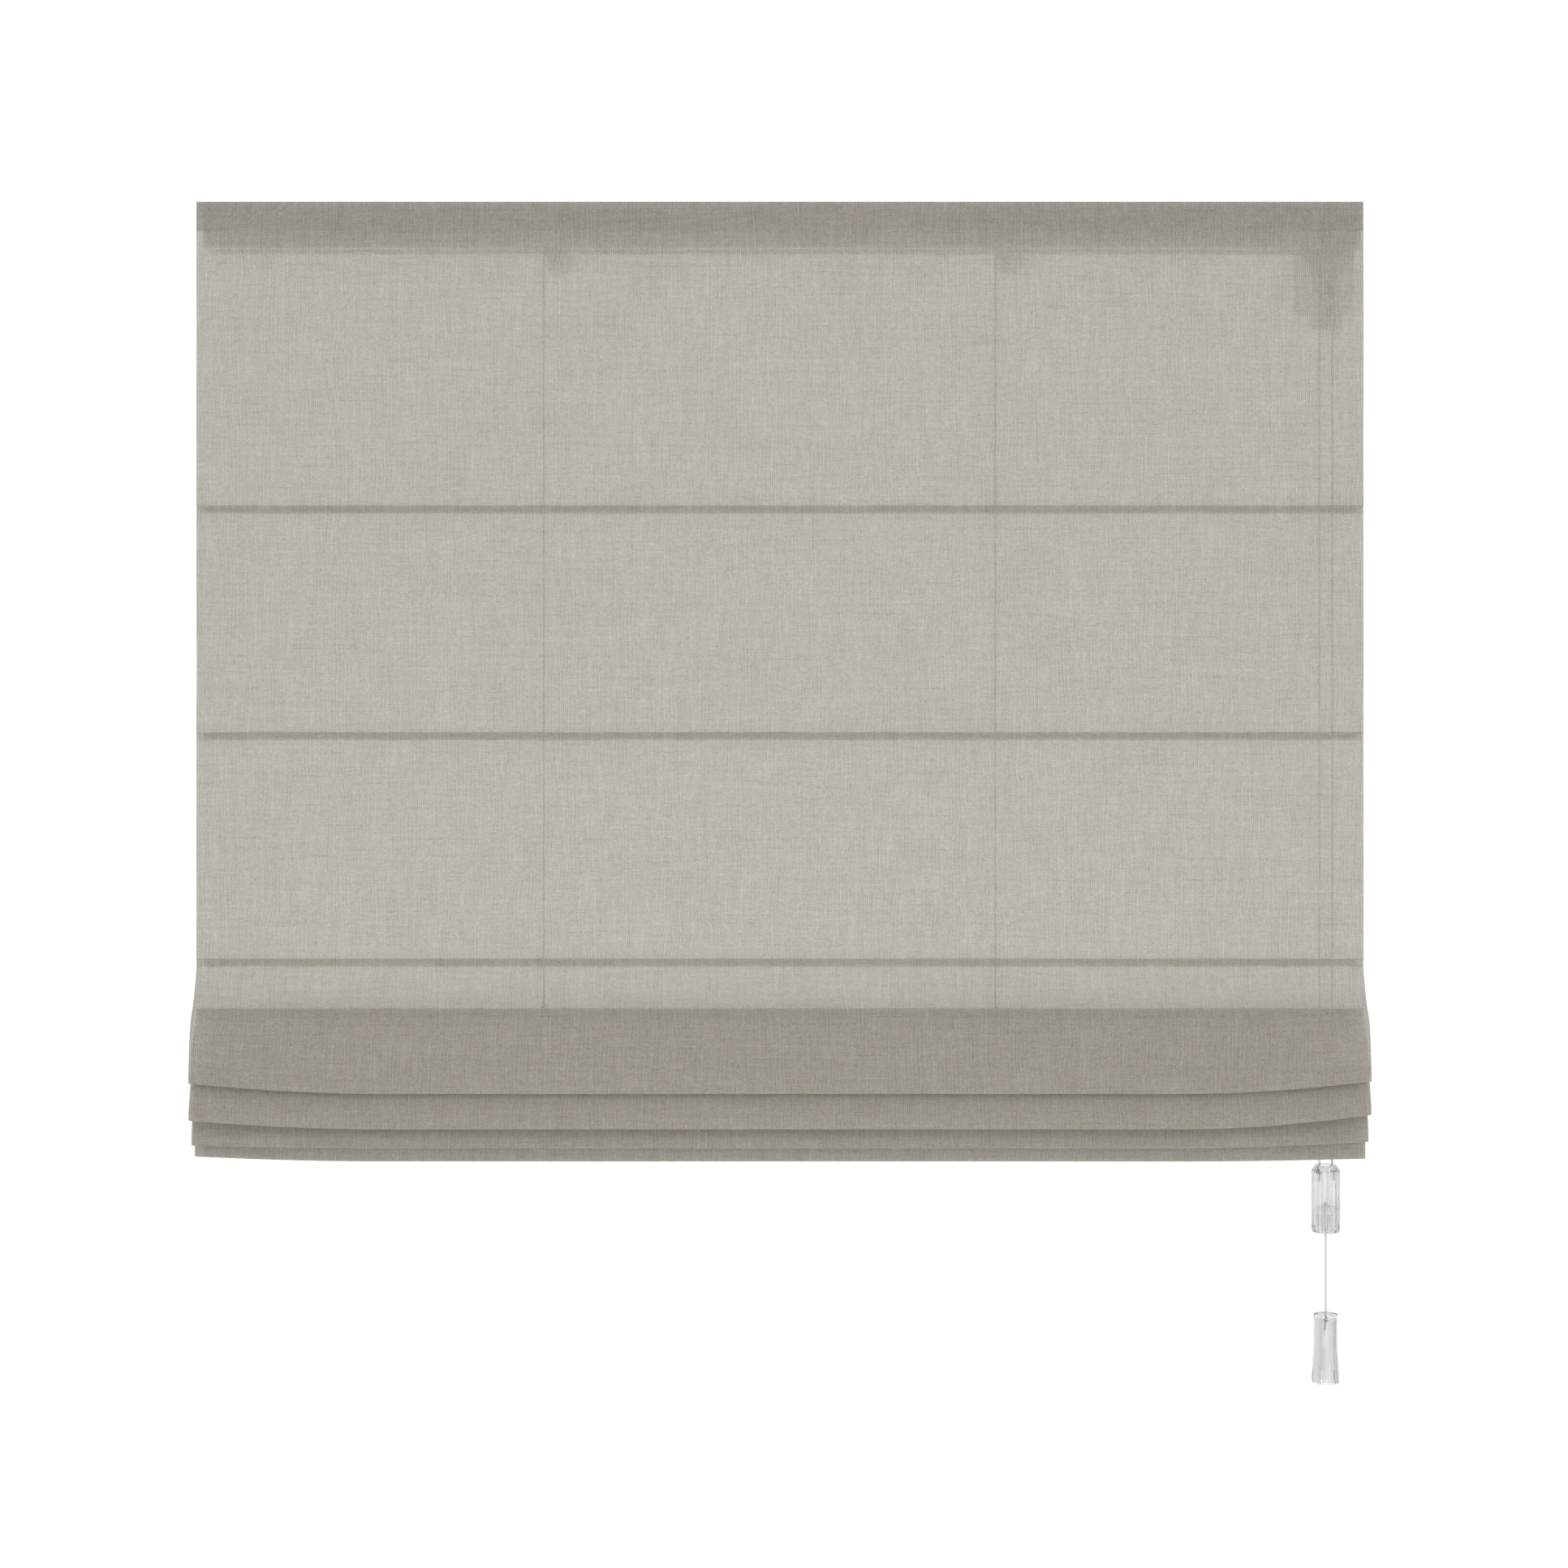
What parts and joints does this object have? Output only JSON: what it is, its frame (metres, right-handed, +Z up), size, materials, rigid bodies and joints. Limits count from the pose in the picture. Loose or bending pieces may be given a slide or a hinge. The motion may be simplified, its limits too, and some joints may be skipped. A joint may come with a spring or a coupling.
{
  "type": "roman blind",
  "caption": "Cord-operated roman blind: translucent cloth on a slim headrail, rods in pockets, gathered folds at the bottom, cord lock, clear cord condenser and tassel.",
  "frame": {"origin": "on the wall plane, midway between the two bracket screw holes", "axes": "+Z up, +X to the right seen from the room, -Y towards the room, wall at Y = 0"},
  "size_m": [0.8, 0.0582, 0.813],
  "materials": {
    "cloth": "open linen-look weave, translucent",
    "rail": "satin white coat",
    "hook_tape": "woven hook and loop tape",
    "white_plastic": "moulded, fine grain",
    "acetal": "moulded",
    "steel": "turned",
    "bracket_steel": "powder coat",
    "rod": "pultruded glass fibre",
    "clear_rings": "clear moulding",
    "bar": "coated flat bar",
    "cord": "fine braided polyester",
    "clear_plastic": "clear polished moulding"
  },
  "bodies": {
    "root": {"headrail": "rail", "hook_tape": "hook_tape", "loop_tape": "hook_tape", "end_cap_left": "white_plastic", "end_cap_right": "white_plastic", "wall_bracket_left": "bracket_steel", "wall_bracket_right": "bracket_steel", "cord_guide_left": "white_plastic", "cord_guide_right": "white_plastic", "guide_axles": "steel", "cord_lock_housing": "white_plastic", "lock_axles": "steel", "fabric_upper": "cloth", "rod_1": "rod", "rod_2": "rod", "rod_3": "rod", "cord_rings_1": "clear_rings", "cord_rings_2": "clear_rings", "cord_rings_3": "clear_rings", "lift_cord_run_left": "cord", "lift_cord_run_right": "cord", "lift_cord_drop_left": "cord", "lift_cord_drop_right": "cord"},
    "gathered_rod_4": {"rod_4": "rod", "cord_rings_4": "clear_rings", "fabric_fold_1": "cloth"},
    "gathered_rod_5": {"rod_5": "rod", "cord_rings_5": "clear_rings", "fabric_fold_2": "cloth"},
    "hem": {"rod_6": "rod", "cord_rings_6": "clear_rings", "fabric_fold_3": "cloth", "fabric_hem": "cloth", "bottom_bar": "bar", "cord_anchors": "white_plastic"},
    "cord_pull": {"pull_cord_left": "cord", "pull_cord_right": "cord", "condenser_body": "clear_plastic", "condenser_plug": "clear_plastic", "tassel_cord": "cord", "tassel": "clear_plastic"},
    "guide_roller_left": {"guide_roller_left": "acetal"},
    "guide_roller_right": {"guide_roller_right": "acetal"},
    "lock_pulley_left": {"lock_pulley_left": "acetal"},
    "lock_pulley_right": {"lock_pulley_right": "acetal"},
    "lock_roller": {"lock_roller": "steel"},
    "bracket_latch_left": {"bracket_latch_left": "bracket_steel"},
    "bracket_latch_right": {"bracket_latch_right": "bracket_steel"}
  },
  "joints": [
    {"name": "raise_lower", "type": "slide", "parent": "root", "child": "gathered_rod_4", "axis": [0, 0, 1], "range_m": [-0.12, 0], "deforming": ["fabric_fold_1", "lift_cord_drop_left", "lift_cord_drop_right"]},
    {"name": "fold_2_opens", "type": "slide", "parent": "gathered_rod_4", "child": "gathered_rod_5", "axis": [0, 0, 1], "range_m": [-0.14, 0], "deforming": ["fabric_fold_2"]},
    {"name": "fold_3_opens", "type": "slide", "parent": "gathered_rod_5", "child": "hem", "axis": [0, 0, 1], "range_m": [-0.14, 0], "deforming": ["fabric_fold_3"]},
    {"name": "cord_pull_travel", "type": "slide", "parent": "root", "child": "cord_pull", "axis": [0, 0, 1], "range_m": [0, 0.4], "deforming": ["pull_cord_left", "pull_cord_right"]},
    {"name": "guide_roller_left_turn", "type": "hinge", "parent": "root", "child": "guide_roller_left", "pos_m": [-0.158, -0.02, -0.014], "axis": [0, 1, 0], "continuous": true},
    {"name": "guide_roller_right_turn", "type": "hinge", "parent": "root", "child": "guide_roller_right", "pos_m": [0.1536, -0.02, -0.014], "axis": [0, 1, 0], "continuous": true},
    {"name": "lock_pulley_left_turn", "type": "hinge", "parent": "root", "child": "lock_pulley_left", "pos_m": [0.3778, -0.0143, -0.0136], "axis": [0, 1, 0], "continuous": true},
    {"name": "lock_pulley_right_turn", "type": "hinge", "parent": "root", "child": "lock_pulley_right", "pos_m": [0.368, -0.0189, -0.0136], "axis": [0, 1, 0], "continuous": true},
    {"name": "lock_roller_travel", "type": "slide", "parent": "root", "child": "lock_roller", "axis": [0, 0, 1], "range_m": [-0.005, 0]},
    {"name": "bracket_latch_left_turn", "type": "hinge", "parent": "root", "child": "bracket_latch_left", "pos_m": [-0.33, -0.0175, 0.0168], "axis": [0, 0, 1], "range_deg": [0, 90]},
    {"name": "bracket_latch_right_turn", "type": "hinge", "parent": "root", "child": "bracket_latch_right", "pos_m": [0.33, -0.0175, 0.0168], "axis": [0, 0, 1], "range_deg": [0, 90]}
  ],
  "couplings": [
    {"joint": "fold_2_opens", "follows": "raise_lower", "ratio": 1.1667},
    {"joint": "fold_3_opens", "follows": "raise_lower", "ratio": 1.1667},
    {"joint": "cord_pull_travel", "follows": "raise_lower", "ratio": -3.3333}
  ]
}
